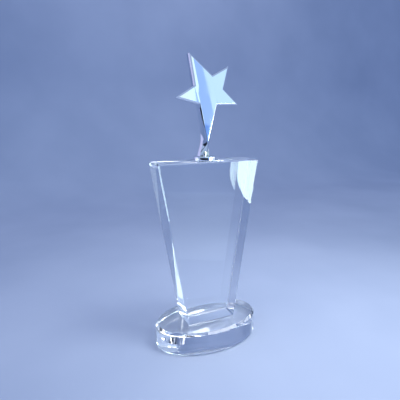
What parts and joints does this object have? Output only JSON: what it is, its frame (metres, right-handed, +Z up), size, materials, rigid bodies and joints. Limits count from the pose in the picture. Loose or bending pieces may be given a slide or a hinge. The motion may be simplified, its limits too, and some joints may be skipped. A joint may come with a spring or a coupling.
{
  "type": "star trophy",
  "caption": "Leaning five-pointed metal star on a round disc, standing on a tapered clear glass block with an oval glass base.",
  "frame": {"origin": "middle of the oval base's underside, on the surface the trophy stands on", "axes": "+Z up, +Y towards the back, so the trophy faces -Y; the base and column are widest along X"},
  "size_m": [0.095, 0.06, 0.2451],
  "materials": {
    "base_glass": "polished optical glass",
    "column_glass": "polished optical glass",
    "clear_adhesive": "clear cured adhesive",
    "disc_chrome": "turned and bright chrome plated",
    "screw_steel": "plain machined steel",
    "star_chrome": "polished and bright chrome plated"
  },
  "bodies": {
    "root": {"crystal_base": "base_glass", "column_bond": "clear_adhesive", "crystal_column": "column_glass", "disc_bond": "clear_adhesive", "mounting_disc": "disc_chrome", "star_screw": "screw_steel", "star_casting": "star_chrome"}
  },
  "joints": []
}
